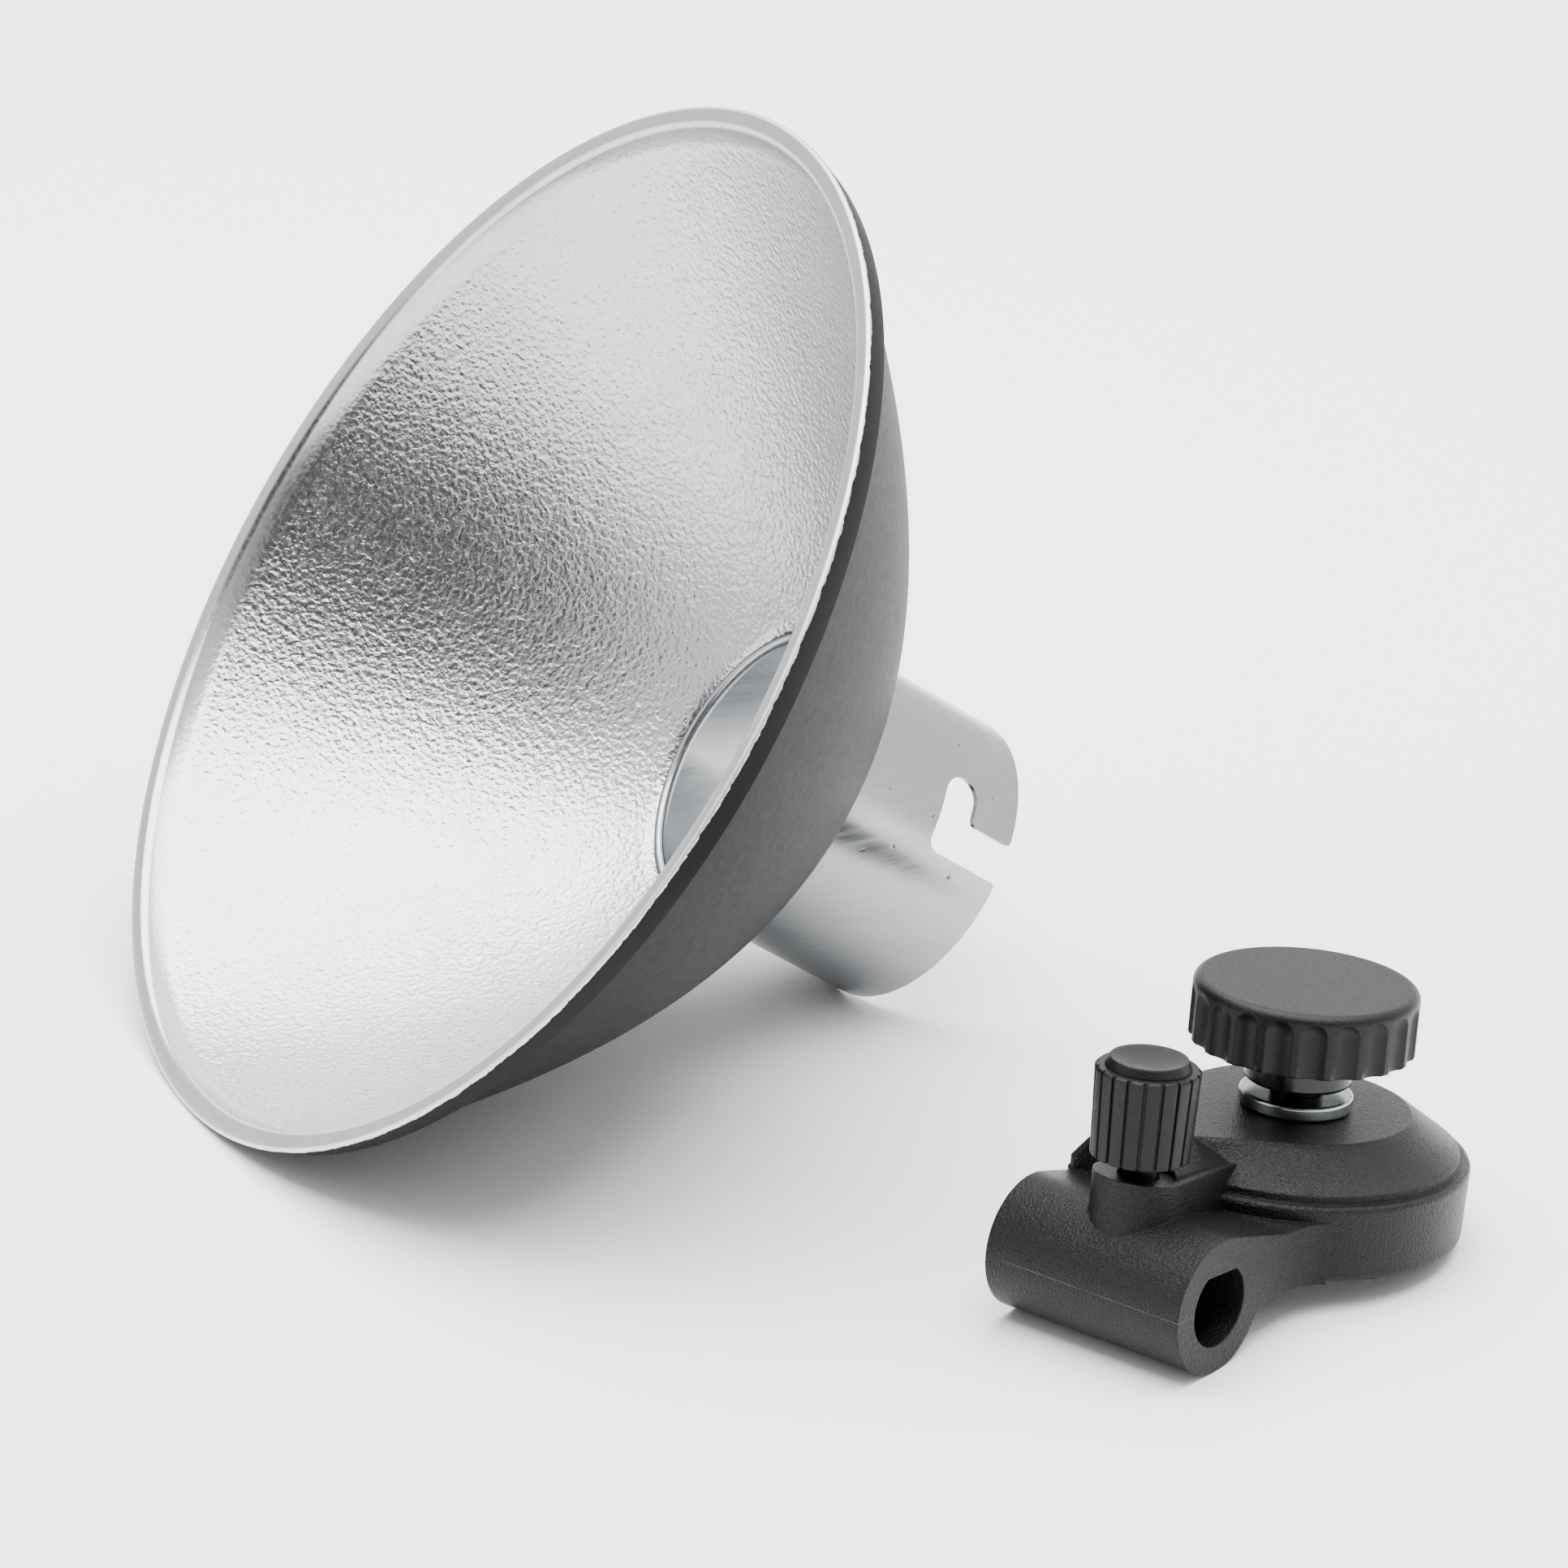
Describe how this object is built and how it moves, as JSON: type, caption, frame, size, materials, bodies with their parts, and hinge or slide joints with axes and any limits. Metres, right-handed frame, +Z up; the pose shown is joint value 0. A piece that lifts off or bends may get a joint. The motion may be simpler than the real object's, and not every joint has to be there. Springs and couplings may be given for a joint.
{
  "type": "studio flash reflector and umbrella bracket",
  "caption": "A parabolic dish reflector with a slotted bayonet neck, lying beside a loose umbrella and tilt clamp bracket with a large fluted clamp knob, a washer and a small ribbed lock knob",
  "frame": {"origin": "on the table, under the middle of the footprint of the two things as they lie", "axes": "+Z up, +X along the bracket's umbrella bore away from the reflector, +Y from the umbrella tube towards the clamp disc"},
  "size_m": [0.2476, 0.1458, 0.148],
  "materials": {
    "dish_aluminium": "hammered silver inside, satin charcoal paint outside",
    "neck_steel": "satin zinc plate",
    "bracket_nylon": "fine grained charcoal moulding",
    "zinc_casting": "die cast, tumbled",
    "brass": "turned",
    "zinc_plate": "bright zinc plate",
    "collar_plastic": "glossy black",
    "knob_plastic": "satin charcoal moulding",
    "bolt_steel": "blackened"
  },
  "bodies": {
    "reflector": {"dish": "dish_aluminium", "neck_tube": "neck_steel"},
    "bracket": {"bracket_housing": "bracket_nylon", "tooth_ring": "zinc_casting", "lock_insert": "brass"},
    "washer": {"clamp_washer": "zinc_plate"},
    "collar": {"clamp_collar": "collar_plastic"},
    "knob": {"clamp_knob": "knob_plastic", "clamp_bolt": "bolt_steel"},
    "shoe": {"clamp_shoe": "bolt_steel"},
    "lock": {"lock_knob": "knob_plastic", "lock_knob_cap": "knob_plastic", "lock_screw": "bolt_steel"}
  },
  "joints": [
    {"name": "bracket_lift", "type": "slide", "parent": "reflector", "child": "bracket", "axis": [0, 0, 1], "range_m": [0, 0.15]},
    {"name": "washer_lift", "type": "slide", "parent": "bracket", "child": "washer", "axis": [0, 0.1165, 0.9932], "range_m": [0, 0.022]},
    {"name": "knob_travel", "type": "slide", "parent": "washer", "child": "collar", "axis": [0, 0.1165, 0.9932], "range_m": [-0.0017, 0.025]},
    {"name": "knob_spin", "type": "hinge", "parent": "collar", "child": "knob", "pos_m": [0.09689, 0.01665, 0.02087], "axis": [0, 0.1165, 0.9932], "continuous": true},
    {"name": "shoe_travel", "type": "slide", "parent": "bracket", "child": "shoe", "axis": [0, -0.1165, -0.9932], "range_m": [0, 0.0022]},
    {"name": "lock_turn", "type": "hinge", "parent": "shoe", "child": "lock", "pos_m": [0.09879, -0.02536, 0.02579], "axis": [0, -0.1165, -0.9932], "range_deg": [0, 792]}
  ],
  "couplings": [
    {"joint": "shoe_travel", "follows": "lock_turn", "m_per_rad": 0.00015915}
  ]
}
